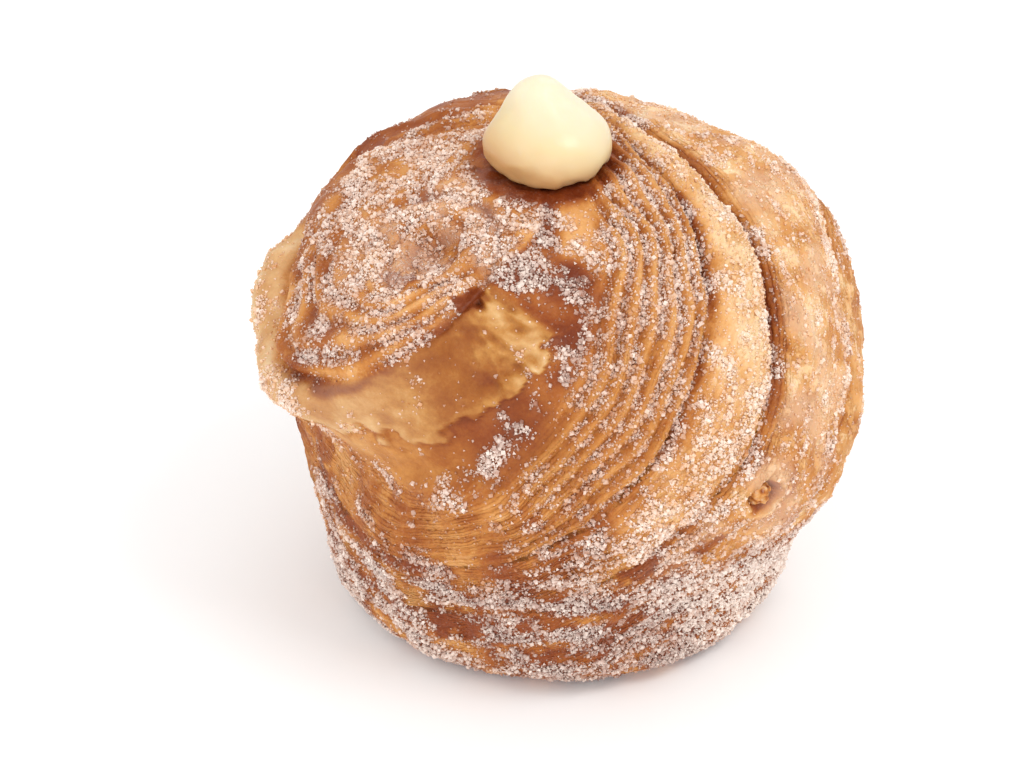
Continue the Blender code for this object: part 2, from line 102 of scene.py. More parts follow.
EDGE_CUT, EDGE_CUT_WIDTH, EDGE_CUT_SPAN = 1.4, 0.16, (148, 162, 222, 240)
UNDERCUT, UNDERCUT_BELOW, UNDERCUT_WIDTH, UNDERCUT_SPAN = 4.4, 12, 11, (172, 200, 232, 262)
SIDE_HOLLOW, SIDE_HOLLOW_AT, SIDE_HOLLOW_WIDTH, SIDE_HOLLOW_SPAN = 1.7, 96, 11, (310, 340, 365, 390)

# The outer turn bulges unevenly round the right side: (beta, height).
OUTER_BULGE = ((60, 0), (42, -0.3), (28, 1.4), (15, 0.9), (3, 0), (350, 0), (340, 0.8), (329, 1.4),
               (321, 0.6), (311, -0.5), (298, -0.8), (280, -0.3), (250, 0), (150, 0))
OUTER_BULGE_AT, OUTER_BULGE_WIDTH = 112, 22

# Leaves: the edges of the dough layers run along each turn of the coil as ridges.
LEAVES = 10
LEAF_WAVER, LEAF_WAVER_LENGTH = 0.16, 16
BUNCH_AT, BUNCH_WIDTH = 40, 260
FAN_END, OUTER_LEAF_SHARE = 60, 0.3
LEAF_BUNCH = ((0, 1.6), (45, 1.4), (90, 1.3), (135, 1.3), (180, 1.8), (235, 2.4), (270, 2.2), (300, 1.8))
LEAF_RISE = ((0, 0.9), (30, 0.8), (60, 0.5), (120, 0.3), (180, 0.3), (225, 0.5), (285, 0.5), (320, 0.8))
LEAF_START = ((0, 36), (40, 38), (90, 44), (180, 56), (235, 56), (262, 54), (290, 48), (320, 40))
KNOB_LEAVES, KNOB_LEAF_BUNCH = 6, 1.2
KNOB_LEAF_WAVER, KNOB_LEAF_WAVER_LENGTH = 0.2, 14
KNOB_LEAF_RISE, KNOB_LEAF_SPAN = 0.6, (140, 190, 285, 300)

# Unevenness of the whole crust: (height, length, seed).
LUMPS = ((0.4, 26, 11), (0.2, 12, 12))

# A broken blister low on the right, and the dimple that holds the cream.
HOLE_POINT = (27.2, -32.2, 33.5)
HOLE_RADIUS, HOLE_DEPTH, HOLE_RIM = 2.3, 2.0, 0.4
DIMPLE_POINT = (-1.9, -4.7, 72.0)
DIMPLE_RADIUS, DIMPLE_DEPTH = 10.0, 1.0

# Cream: a wide round foot with a lip on its left and a soft peak leaning left.
CREAM_HEART = np.array((-2.2, -4.0, 75.5))
CREAM_FOOT_CENTRE, CREAM_FOOT_RADII = (-1.4, -4.9, 72.9), (8.4, 8.5, 6.2)
CREAM_PEAK_CENTRE, CREAM_PEAK_RADII = (-3.0, -3.5, 75.9), (5.0, 5.4, 6.2)
CREAM_BLEND = 2.6
CREAM_LIP, CREAM_LIP_RISE, CREAM_LIP_WIDTH = (-9.6, -2.2, -1.6), 1.2, 24
CREAM_EDGE = 0.3
CREAM_GAP = 0.45
HALVINGS = 14


def unit(vectors):
    vectors = np.asarray(vectors, float)
    return vectors / np.linalg.norm(vectors, axis=-1, keepdims=True)


EYE = unit(EYE_POINT)
ACROSS = unit(np.array((1.0, 0.0, 0.0)) - EYE * EYE[0])
OVER = np.cross(EYE, ACROSS)


def fade(x, start, end):
    """Rises smoothly from 0 at start to 1 at end."""
    t = np.clip((x - start) / (end - start), 0, 1)
    return t * t * (3 - 2 * t)


def hump(x, middle, width):
    return np.exp(-((x - middle) / width) ** 2)


def smooth_line(x, stations):
    """A smooth curve through stations of (position, value), level beyond both ends."""
    at, value = np.array(stations, float).T
    slope = np.gradient(value, at)
    x = np.clip(x, at[0], at[-1])
    i = np.clip(np.searchsorted(at, x) - 1, 0, len(at) - 2)
    span = at[i + 1] - at[i]
    t = (x - at[i]) / span
    ends = (1 + 2 * t) * (1 - t) ** 2 * value[i] + t * t * (3 - 2 * t) * value[i + 1]
    return ends + span * (t * (1 - t) ** 2 * slope[i] + t * t * (t - 1) * slope[i + 1])


def smooth_ring(angle, stations):
    """The same curve closed on itself over a full turn."""
    ordered = sorted((at % 360, value) for at, value in stations)
    before = [(at - 360, value) for at, value in ordered[-2:]]
    after = [(at + 360, value) for at, value in ordered[:2]]
    return smooth_line(np.asarray(angle) % 360, before + ordered + after)


def along(beta, span):
    """1 along a stretch of the turn, fading out to nothing at both of its ends."""
    at = (beta - span[0]) % 360
    return fade(at, 0, span[1] - span[0]) * (1 - fade(at, span[2] - span[0], span[3] - span[0]))


def ripple(points, size, seed, waves=14):
    """Smooth bumps about one unit high and as wide as size: a sum of plane waves."""
    draw = np.random.default_rng(seed)
    pull = unit(draw.normal(size=(waves, 3))) * (2 * np.pi / size) * draw.uniform(0.6, 1.5, (waves, 1))
    phase = draw.uniform(0, 2 * np.pi, waves)
    return np.sin(points @ pull.T + phase).sum(-1) * np.sqrt(2 / waves)


def blend_max(a, b, soft):
    share = np.clip(0.5 + 0.5 * (a - b) / soft, 0, 1)
    return b * (1 - share) + a * share + soft * share * (1 - share)


def blend_min(a, b, soft):
    return -blend_max(-a, -b, soft)


def ellipsoid_reach(rays, heart, centre, radii, turn=np.eye(3)):
    """Distance along each ray from the heart to the far side of an ellipsoid, 0 where it misses."""
    start = (heart - np.array(centre)) @ turn / np.array(radii)
    step = rays @ turn / np.array(radii)
    a = (step * step).sum(-1)
    b = (step * start).sum(-1)
    room = b * b - a * ((start * start).sum() - 1)
    return np.where(room > 0, (np.sqrt(np.maximum(room, 0)) - b) / a, 0)


def head_turn():
    """Axes of the head, its top leaning forwards and left."""
    lean, tilt = unit(HEAD_LEAN), np.radians(HEAD_TILT)
    top = lean * np.sin(tilt) + np.array((0, 0, np.cos(tilt)))
    right = unit(np.cross((0, 1, 0), top))
    return np.stack([right, np.cross(top, right), top], 1)


def form_reach(rays):
    """The bun without relief."""
    side, rise = np.hypot(rays[:, 0], rays[:, 1]), rays[:, 2]
    radius = FOOT_RADIUS + FOOT_SHIFT * rays[:, 0] / np.maximum(side, TINY) + FOOT_FLARE * HEART[2]
    foot = np.minimum(radius / np.maximum(side - FOOT_FLARE * rise, TINY), FAR)
    foot_top = ellipsoid_reach(rays, HEART, FOOT_TOP_CENTRE, FOOT_TOP_RADII)
    reach = blend_min(foot, np.where(rise > FOOT_TOP_LOWEST, foot_top, FAR), FOOT_TOP_BLEND)
    reach = blend_max(reach, ellipsoid_reach(rays, HEART, DOME_CENTRE, DOME_RADII), DOME_BLEND)
    reach = blend_max(reach, ellipsoid_reach(rays, HEART, WRAP_CENTRE, WRAP_RADII), WRAP_BLEND)
    return blend_max(reach, ellipsoid_reach(rays, HEART, HEAD_CENTRE, HEAD_RADII, head_turn()), HEAD_BLEND)


def floor_reach(rays):
    """The underside, FOOT_TRIM below the cut that makes the foot flat."""
    return np.where(rays[:, 2] < -TINY, (HEART[2] + FOOT_TRIM) / np.maximum(-rays[:, 2], TINY), FAR)


def swirl(rays):
    """Where each ray leaves the coil: its swirl angles, and its share of the way across its own strip."""
    alpha = np.degrees(np.arccos(np.clip(rays @ EYE, -1, 1)))
    beta = np.degrees(np.arctan2(rays @ OVER, rays @ ACROSS)) % 360
    wound = (TIP_BETA - beta) % 360
    seams = np.stack([smooth_line(wound + 360 * turn, SEAM) for turn in range(FIRST_TURN, LAST_TURN + 1)])
    strip = np.clip((alpha >= seams).sum(0) - 1, 0, len(seams) - 2)
    inner = np.take_along_axis(seams, strip[None], 0)[0]
    outer = np.take_along_axis(seams, strip[None] + 1, 0)[0]
    share = np.clip((alpha - inner) / (outer - inner), 0, 1)
    return {"alpha": alpha, "beta": beta, "inner": inner, "outer": outer, "share": share,
            "wound": wound + 360 * (strip + FIRST_TURN), "points": rays * MEAN_RADIUS,
            "edge": smooth_ring(beta, KNOB_EDGE),
            "hem": np.maximum(smooth_ring(beta, SKIRT_HEM), smooth_ring(beta, KNOB_EDGE) + 3)}


def torn_line(at):
    """The ragged lower edge of the pale layer, as alpha beyond the hem."""
    ragged = sum(depth * ripple(at["points"], length, seed) for depth, length, seed in TEARS)
    return at["alpha"] - at["hem"] - ragged


def knob_relief(at):
    """The knob stands proud of its skirt and dips at its eye; on the left it is rolled and undercut."""
    alpha, beta, edge, hem = at["alpha"], at["beta"], at["edge"], at["hem"]
    down = (alpha - edge) / (hem - edge)
    slope = (1 - np.clip(down, 0, 1)) ** 1.5
    roll = np.sin(np.pi * np.clip(down, 0, 1)) ** 0.6
    on_skirt = fade(down, -0.05, 0.1) * (1 - fade(torn_line(at), -0.3, 0.4))
    height = CROWN_RISE * (1 - fade(alpha, CROWN_EDGE, CROWN_FOOT)) - EYE_DIP * hump(alpha, 0, EYE_WIDTH)
    height += smooth_ring(beta, KNOB_RISE) * fade(alpha / edge, 0.1, 0.9) * slope
    height += smooth_ring(beta, ROLL_RISE) * roll
    height += smooth_ring(beta, HEM_STEP) * on_skirt
    height += smooth_ring(beta, RIM_RISE) * hump(alpha, smooth_ring(beta, RIM_LINE), RIM_WIDTH)
    height -= EDGE_CUT * along(beta, EDGE_CUT_SPAN) * hump(down, 0, EDGE_CUT_WIDTH)
    height -= UNDERCUT * along(beta, UNDERCUT_SPAN) * hump(alpha, hem + UNDERCUT_BELOW, UNDERCUT_WIDTH)
    height -= SIDE_HOLLOW * along(beta, SIDE_HOLLOW_SPAN) * hump(alpha, SIDE_HOLLOW_AT, SIDE_HOLLOW_WIDTH)
    return height + smooth_ring(beta, OUTER_BULGE) * hump(alpha, OUTER_BULGE_AT, OUTER_BULGE_WIDTH)


def strip_relief(at):
    """Each turn of the strip swells between the grooves where it meets its neighbours."""
    alpha, wound, share = at["alpha"], at["wound"], at["share"]
    pillow = np.clip(4 * share * (1 - share), 0, 1) ** 0.7
    width = SEAM_WIDTH + SEAM_WAVER * ripple(at["points"], SEAM_WAVER_LENGTH, 5)
    height = smooth_line(wound, STRIP_SWELL) * pillow
    height -= smooth_line(wound, SEAM_CUT) * hump(alpha, at["inner"], width)
    return height - smooth_line(wound + 360, SEAM_CUT) * hump(alpha, at["outer"], width)


def leaf_number(at):
    """Counts the leaves across each point's own strip, or across the knob."""
    bunch = 1 + (smooth_ring(at["beta"], LEAF_BUNCH) - 1) * hump(at["wound"], BUNCH_AT, BUNCH_WIDTH)
    strip_leaf = LEAVES * at["share"] ** bunch + LEAF_WAVER * ripple(at["points"], LEAF_WAVER_LENGTH, 21)
    across = at["alpha"] / at["edge"]
    knob_waver = KNOB_LEAF_WAVER * ripple(at["points"], KNOB_LEAF_WAVER_LENGTH, 22)
    return np.where(across < 1, KNOB_LEAVES * across ** KNOB_LEAF_BUNCH + knob_waver, strip_leaf)


def crest(leaf):
    """A rounded ridge along the middle of each leaf, with sharp valleys between leaves."""
    return np.abs(np.sin(np.pi * leaf)) ** 0.8


def leaf_relief(at):
    """Ridges of the leaves, low on the outer turns, and finer ones round the knob."""
    alpha, beta, across = at["alpha"], at["beta"], at["alpha"] / at["edge"]
    start = smooth_ring(beta, LEAF_START)
    rise = smooth_ring(beta, LEAF_RISE) * fade(alpha, start - 3, start + 4)
    rise = rise * np.where(at["wound"] < FAN_END, 1.0, OUTER_LEAF_SHARE)
    on_knob = along(beta, KNOB_LEAF_SPAN) * fade(across, 0.3, 0.5) * (1 - fade(across, 0.96, 1))
    return (rise + KNOB_LEAF_RISE * on_knob) * (crest(leaf_number(at)) - 0.6)


def distance_over(rays, point):
    """Distance over the crust, roughly, from the ray through a point."""
    point = np.array(point) - HEART
    return np.linalg.norm(rays * np.linalg.norm(point) - point, axis=-1)


def crust_relief(rays):
    at = swirl(rays)
    height = strip_relief(at) + leaf_relief(at)
    height += sum(rise * ripple(at["points"], length, seed) for rise, length, seed in LUMPS)
    under_cream = distance_over(rays, DIMPLE_POINT) / DIMPLE_RADIUS
    height = height * fade(under_cream, 0.6, 1.2)
    height -= DIMPLE_DEPTH * (1 - fade(under_cream, 0.5, 1.1))
    hole = distance_over(rays, HOLE_POINT) / HOLE_RADIUS
    height -= HOLE_DEPTH * np.exp(-hole ** 4) - HOLE_RIM * hump(hole, 1.3, 0.3)
    return height + knob_relief(at)


def crust_reach(rays):
    reach = form_reach(rays)
    above_floor = HEART[2] + reach * rays[:, 2]
    reach = reach + crust_relief(rays) * fade(above_floor, *RELIEF_STARTS)
    return blend_min(reach, floor_reach(rays), FLOOR_BLEND)


def cream_reach(rays):
    """The dollop, cut off CREAM_GAP above the crust, which is found by halving the way along each ray."""
    off_lip = np.degrees(np.arccos(np.clip(rays @ unit(CREAM_LIP), -1, 1)))
    foot = ellipsoid_reach(rays, CREAM_HEART, CREAM_FOOT_CENTRE, CREAM_FOOT_RADII)
    foot = foot + CREAM_LIP_RISE * hump(off_lip, 0, CREAM_LIP_WIDTH)
    peak = ellipsoid_reach(rays, CREAM_HEART, CREAM_PEAK_CENTRE, CREAM_PEAK_RADII)
    reach = blend_max(foot, peak, CREAM_BLEND)
    clear, blocked = np.zeros_like(reach), reach
    for _ in range(HALVINGS):
        middle = (clear + blocked) / 2
        out = CREAM_HEART + middle[:, None] * rays - HEART
        free = np.linalg.norm(out, axis=-1) > crust_reach(unit(out)) + CREAM_GAP
        clear, blocked = np.where(free, middle, clear), np.where(free, blocked, middle)
    out = CREAM_HEART + reach[:, None] * rays - HEART
    whole = np.linalg.norm(out, axis=-1) > crust_reach(unit(out)) + CREAM_GAP
    return np.where(whole, reach, blend_min(reach, clear, CREAM_EDGE))


# --- looks ---

# Resolution of the fine meshes. Most of the crust's rings lie within FINE_ALPHA of the eye.
CRUST_SEGMENTS, CRUST_RINGS = 352, 276
FINE_ALPHA, FINE_SHARE = 118.0, 0.84
DOLLOP_SEGMENTS, DOLLOP_RINGS = 120, 72
CRUMB_SEGMENTS, CRUMB_RINGS = 56, 36

# Crust colours, from scorched to pale, as display values 0-255.
TONES = ((0.00, (114, 47, 19)), (0.20, (144, 70, 27)), (0.40, (171, 98, 40)), (0.58, (202, 134, 66)),
         (0.78, (228, 171, 109)), (1.00, (247, 210, 164)))
SUGAR_FILM, SUGAR_WHITE = (228, 198, 180), (252, 236, 224)

# The bare torn skin is yellower than the crust: what it keeps of red, green and blue.
SKIN_TINT = (0.89, 0.985, 1.06, 1)

# Cream, from its darker foot to its pale peak: painted shade with some real stain low and on the left,
# painted light high and on the right. Also the heights between which it pales, and how far that slants so its
# right side is paler.
CREAM_LIT_TONES = ((0.00, (200, 154, 102)), (0.16, (217, 181, 130)), (0.52, (229, 208, 162)),
               (0.90, (240, 226, 196)))
CREAM_LIT_LEVELS, CREAM_LIGHT_SLANT = (69.8, 80.6), 0.35

# How far each kind of unevenness swings the crust's tone.
STREAK_SWING, PATCH_SWING, BLOTCH_SWING, SPECK_SWING = 0.16, 0.24, 0.38, 0.22
LINE_SWING, FLAKE_SWING = 0.2, 0.16

# Thin lines of the dough layers: how many to a leaf, and how far apart in the deep groove, in degrees.
STRANDS, GROOVE_STRAND = 4, 0.85

# The lump of crumb in the broken blister: (depth, length, seed) of its roughness, and its tone.
CRUMB_RADIUS, CRUMB_SINK = 1.7, -0.4
CRUMB_ROUGH = ((0.12, 1.6, 95), (0.06, 0.6, 96))
CRUMB_TONE, CRUMB_DUST = 0.60, 0.3

# The dollop's faint lumps and its uneven lower edge.
DOLLOP_LUMPS, DOLLOP_EDGE, DOLLOP_RADIUS = 0.06, 0.35, 9

# Where each stretch of the crust, or a part of one, starts, is full, starts to end and ends, as beta.
SPANS = dict(skirt=(148, 156, 314, 320), below=(190, 215, 290, 305), shoulder=(288, 312, 380, 405),
             long_shoulder=(285, 300, 330, 350), flap=(345, 354, 374, 384), fan=(262, 292, 420, 450),
             arcs=(140, 185, 290, 300), layers=(178, 205, 264, 284), crumple=(276, 296, 312, 320),
             sliver=(288, 294, 308, 314), rim=(76, 88, 148, 156), roll=(150, 165, 205, 225),
             low_foot=(150, 175, 212, 236), worn_pale=(270, 282, 318, 340), dark_outer=(285, 300, 322, 345),
             hem=(190, 215, 300, 318), dark_fan=(258, 268, 290, 302), right_fan=(320, 345, 420, 450),
             brown=(200, 211, 248, 262), dark_foot=(248, 264, 284, 298), soft_seam=(290, 305, 335, 350),
             bare_shoulder=(285, 300, 325, 345), sugared_fan=(305, 330, 420, 440),
             sugared_pale=(280, 290, 320, 338), front=(264, 278, 312, 330), heap=(252, 262, 278, 290),
             right_foot=(272, 296, 345, 365), knob_edge=(145, 160, 235, 255),
             upper_right=(330, 350, 420, 440), white_foot=(284, 298, 345, 360),
             clear_foot=(236, 250, 280, 292))

# The bare browned rim over the back of the knob: (beta, alpha of its near edge), and how wide it is.
RIM_EDGE = ((80, 68), (92, 54), (98, 51.4), (104, 50.8), (112, 50.5), (118, 48.9), (123, 43.4), (128, 37.4),
            (133, 36.0), (138, 34.6), (144, 33.6), (150, 33.4), (160, 34), (300, 60))
RIM_REACH = 13

# How pale the torn skirt and the crust below it are, round the eye.
SKIRT_TONE = ((150, 0.78), (180, 0.78), (205, 0.78), (225, 0.73), (240, 0.66), (256, 0.56), (270, 0.42),
              (284, 0.38), (296, 0.50), (308, 0.68), (316, 0.68), (330, 0.54), (60, 0.60))
BELOW_TONE = ((150, 0.50), (200, 0.60), (225, 0.62), (245, 0.54), (262, 0.42), (276, 0.20), (300, 0.18),
              (310, 0.30), (60, 0.50))

# What each stretch adds: height of the leaves' ridges and of torn terraces, thin lines, flakes, clear sugar.
RIDGES = dict(fan=0.6, arcs=0.4, pale=0.2, foot=0.15)
TERRACES = dict(layers=0.24, fan=0.12, foot=0.16, shoulder=0.10)
LINED = dict(layers=1, fan=0.7, foot=0.4, wraps=0.6)
FLAKED = dict(outer=0.7, side=1, pale=0.2)
CLEAR = dict(eye=0.26, shoulder=0.07, knob=0.03, pale=0.04, layers=0.12)

# Patches that stand out: where (alpha, beta), how far they reach each way, how pale, and how much sugar.
PATCHES = ((62, 210, 6, 5, 0.7, 0.06), (27.5, 256, 2, 9, 0.5, 0), (86, 250, 4, 7, 0.15, 0.04),
           (80, 241, 2.6, 3.5, 0.6, 0.1), (92.5, 256, 2.4, 3, 0.46, 0.02), (85, 291, 2.4, 5, 0.2, 0.1),
           (95, 262, 1.8, 6, 0.16, 0.1), (97, 279, 1.8, 7, 0.18, 0.15), (90, 303, 2, 4, 0.24, 0.15),
           (21, 316, 3.4, 5, 0.44, 0.12), (85, 318, 3.5, 3, 0.55, 0.05), (16.5, 298, 2.4, 10, 0.08, 0),
           (101, 330, 7, 3, 0.58, 0.05), (96, 352, 6, 3, 0.66, 0.05), (104, 4, 8, 3, 0.7, 0.05))

# Sugar: name, form, count, sizes, spread and seed of each kind. A lower spread strays further from clumps.
SUGAR_KINDS = (("sugar_coarse", "box", 15500, (0.32, 0.52), 0.95, 7),
               ("sugar_medium", "bead", 24500, (0.30, 0.46), 0.9, 8),
               ("sugar_fine", "chip", 48000, (0.22, 0.36), 0.7, 9),
               ("sugar_dust", "chip", 46000, (0.14, 0.24), 0.55, 10))

# How crystals differ: how much longer or shorter each way, how far each corner is off, and how far they
# stand out, in their own size, or are heaped where sugar is thicker than HEAPED_FROM.
STRETCH, CORNER_REACH, STAND = (0.8, 1.2), (0.86, 1.14), (-0.15, 0.3)
HEAP, HEAPED_FROM = 0.35, 0.4
# Random milkiness of each crystal and each of its corners: the corners' spread paints bright and crust-tinted
# flecks of light through the crystal. Also the least milkiness.
MILK, CORNER_MILK, LEAST_MILK = (-0.22, 0.30), (-0.22, 0.22), 0.06


def linear(colour):
    """Display values 0-255 as linear light."""
    value = np.array(colour) / 255
    return tuple(np.where(value <= 0.04045, value / 12.92, ((value + 0.055) / 1.055) ** 2.4))


def bound(x):
    """Keeps a value from 0 to 1."""
    return np.clip(x, 0, 1)


def between(x, low, high, soft):
    return fade(x, low - soft, low + soft) * (1 - fade(x, high - soft, high + soft))


def weigh(zone, shares, start=0):
    """The sum of some stretches, each times its share."""
    return sum((share * getattr(zone, name) for name, share in shares.items()), start)


def settle(value, *goals):
    """Moves a value towards each goal in turn, as far as the product of the goal's shares."""
    for goal, *shares in goals:
        value = value + math.prod(shares, start=goal - value)
    return value


def zones(at):
    """How far each point belongs to each stretch of the crust, 0 to 1. Each starts as its span, if any."""
    alpha, beta, wound, share = at["alpha"], at["beta"], at["wound"], at["share"]
    zone = SimpleNamespace(**{name: along(beta, ends) for name, ends in SPANS.items()})
    zone.across = alpha / at["edge"]
    zone.torn = torn_line(at)
    zone.high = HEART[2] + at["reach"] * at["rays"][:, 2]
    zone.knob = 1 - fade(zone.across, 0.97, 1.02)
    zone.skirt = fade(zone.across, 0.99, 1.03) * (1 - fade(zone.torn, -0.3, 0.3)) * zone.skirt
    zone.below = fade(zone.torn, -0.3, 0.3) * zone.below * (1 - fade(alpha, 48, 58))
    limit = 30 + 10 * zone.long_shoulder
    zone.shoulder = zone.shoulder * (1 - fade(alpha, limit, limit + 8)) * (1 - zone.knob) * (1 - zone.skirt)
    zone.flap = between(alpha, 27, 36, 2) * zone.flap * (1 - zone.knob)
    start = smooth_ring(beta, LEAF_START)
    in_fan = np.where((wound < FAN_END) & (wound > -320), 1.0, 0.0)
    zone.fan = in_fan * zone.fan * fade(alpha, start - 4, start + 4)
    zone.arcs = zone.knob * zone.arcs * fade(zone.across, 0.35, 0.6)
    zone.layers = zone.layers * between(alpha, 54, 75, 4)
    zone.pale = between(wound, 225, 352, 14) * fade(share, 0.02, 0.16) * (1 - fade(share, 0.84, 0.97))
    zone.outer = between(wound, 560, 705, 18) * fade(share, 0.05, 0.14) * (1 - fade(share, 0.9, 1.0))
    zone.groove = between(wound, 560, 700, 12) * (1 - fade(alpha - at["inner"], 3.6, 6.0))
    zone.crumple = zone.skirt * zone.crumple
    zone.sliver = between(alpha, 15.2, 19.5, 1) * zone.sliver
    zone.rim = zone.rim * between(alpha - smooth_ring(beta, RIM_EDGE), 0, RIM_REACH, 0.8)
    zone.eye = 1 - fade(alpha + 1.2 * ripple(at["points"], 4, 64), 4, 8)
    zone.side = between(wound, 985, 1105, 14) * fade(share, 0, 0.05)
    zone.roll = between(zone.across, 1.0, 1.5, 0.1) * zone.roll
    named = zone.fan + zone.layers + zone.below + zone.pale + zone.outer + zone.side + zone.rim
    zone.wraps = fade(alpha, 40, 56) * (1 - bound(named))
    foot_top = 21 - 8 * zone.low_foot
    zone.bands = ripple(np.stack([beta * 0.24, zone.high, 0 * zone.high], 1), 3.6, 84)
    zone.foot = 1 - fade(zone.high, foot_top - 4, foot_top + 4)
    zone.hole, zone.cream = broken(at), distance_over(at["rays"], DIMPLE_POINT) / DIMPLE_RADIUS
    return zone


def broken(at):
    """Distance from the broken blister, with a ragged edge at 1."""
    return distance_over(at["rays"], HOLE_POINT) / HOLE_RADIUS * (1 + 0.14 * ripple(at["points"], 2.6, 61))


def patched(at):
    """Each patch's strength, with a ragged edge, beside how pale it is and its sugar."""
    ragged = 0.3 * ripple(at["points"], 3.2, 85)
    for alpha, beta, reach_alpha, reach_beta, tone, sugar in PATCHES:
        turn = (at["beta"] - beta + 180) % 360 - 180
        away = np.hypot((at["alpha"] - alpha) / reach_alpha, turn / reach_beta) + ragged
        yield 1 - fade(away, 0.7, 1.1), tone, sugar


def part_of(leaf):
    """How far across its leaf each point is, 0 to 1, with the crest at 0.5."""
    return leaf - np.floor(leaf)


def valley_of(leaf, width):
    """1 in the valleys between leaves, 0 on their crests."""
    return 1 - hump(part_of(leaf), 0.5, width)


def ruffles(at):
    """Sharp folds that run down the torn skin, side by side round the eye."""
    spread = np.stack([at["beta"] * 0.32, at["alpha"] * 0.26, 0 * at["alpha"]], 1)
    return 0.75 - np.abs(ripple(spread, 3.0, 55)) + 0.3 * ripple(at["points"], 1.8, 56)


def crinkles(at):
    """Shallow creases of papery skin."""
    return 0.7 - np.abs(ripple(at["points"], 7, 57)) + 0.5 * (0.7 - np.abs(ripple(at["points"], 3.2, 69)))


def groove_lines(at):
    """Thin layers along the deep groove, as a swing about 0."""
    return crest((at["alpha"] - at["inner"]) / (2 * GROOVE_STRAND)) - 0.6


def roll_lines(at):
    """Thin layers along the rolled edge, as a swing about 0."""
    return crest(5.5 * at["alpha"] / at["edge"] + 0.14 * ripple(at["points"], 9, 52)) - 0.6


def whorl(at):
    """The inner end of the strip, wound into the eye, as a swing about 0."""
    near = fade(at["alpha"], 2, 4) * (1 - fade(at["alpha"], 13, 19))
    return near * (crest(at["alpha"] / 5.5 + at["wound"] / 360 + 0.12 * ripple(at["points"], 8, 66)) - 0.6)


def fine_relief(at, zone, leaf):
    """Height added to the solids' relief: thin layer edges, torn terraces, crumpled skin, small lumps."""
    points = at["points"]
    ridge = np.abs(np.sin(np.pi * leaf)) ** 4 - 0.37
    height = ridge * weigh(zone, RIDGES)
    height += 0.4 * ridge * zone.wraps * (1 - zone.foot)
    height += 0.3 * zone.groove * groove_lines(at)
    # Torn layers: a slow field cut into thin ragged terraces.
    step = part_of(1.3 * leaf + 0.5 * ripple(points, 9, 53) + 0.28 * ripple(points, 3, 54))
    terrace = fade(step, 0.0, 0.12) * (1 - step)
    height += terrace * weigh(zone, TERRACES)
    height += 0.14 * terrace * zone.wraps + 0.2 * zone.roll * roll_lines(at)
    height += 0.45 * zone.crumple * ruffles(at)
    height += 0.13 * (zone.skirt + 0.5 * zone.below) * (1 - 0.6 * zone.crumple) * crinkles(at)
    height += 0.10 * (zone.outer + zone.side) * ripple(points, 3, 65)
    height += 0.07 * ripple(points, 4.5, 58) + 0.03 * ripple(points, 2, 59)
    height += 0.7 * whorl(at) - 1.3 * hump(at["alpha"], 0, 4.5)
    rough = 0.25 * (1 - fade(zone.hole, 0.8, 1.5)) * ripple(points, 1.6, 60)
    height += 0.35 * hump(zone.hole, 1.25, 0.2) + rough
    return height * fade(zone.high, 0.5, 4)


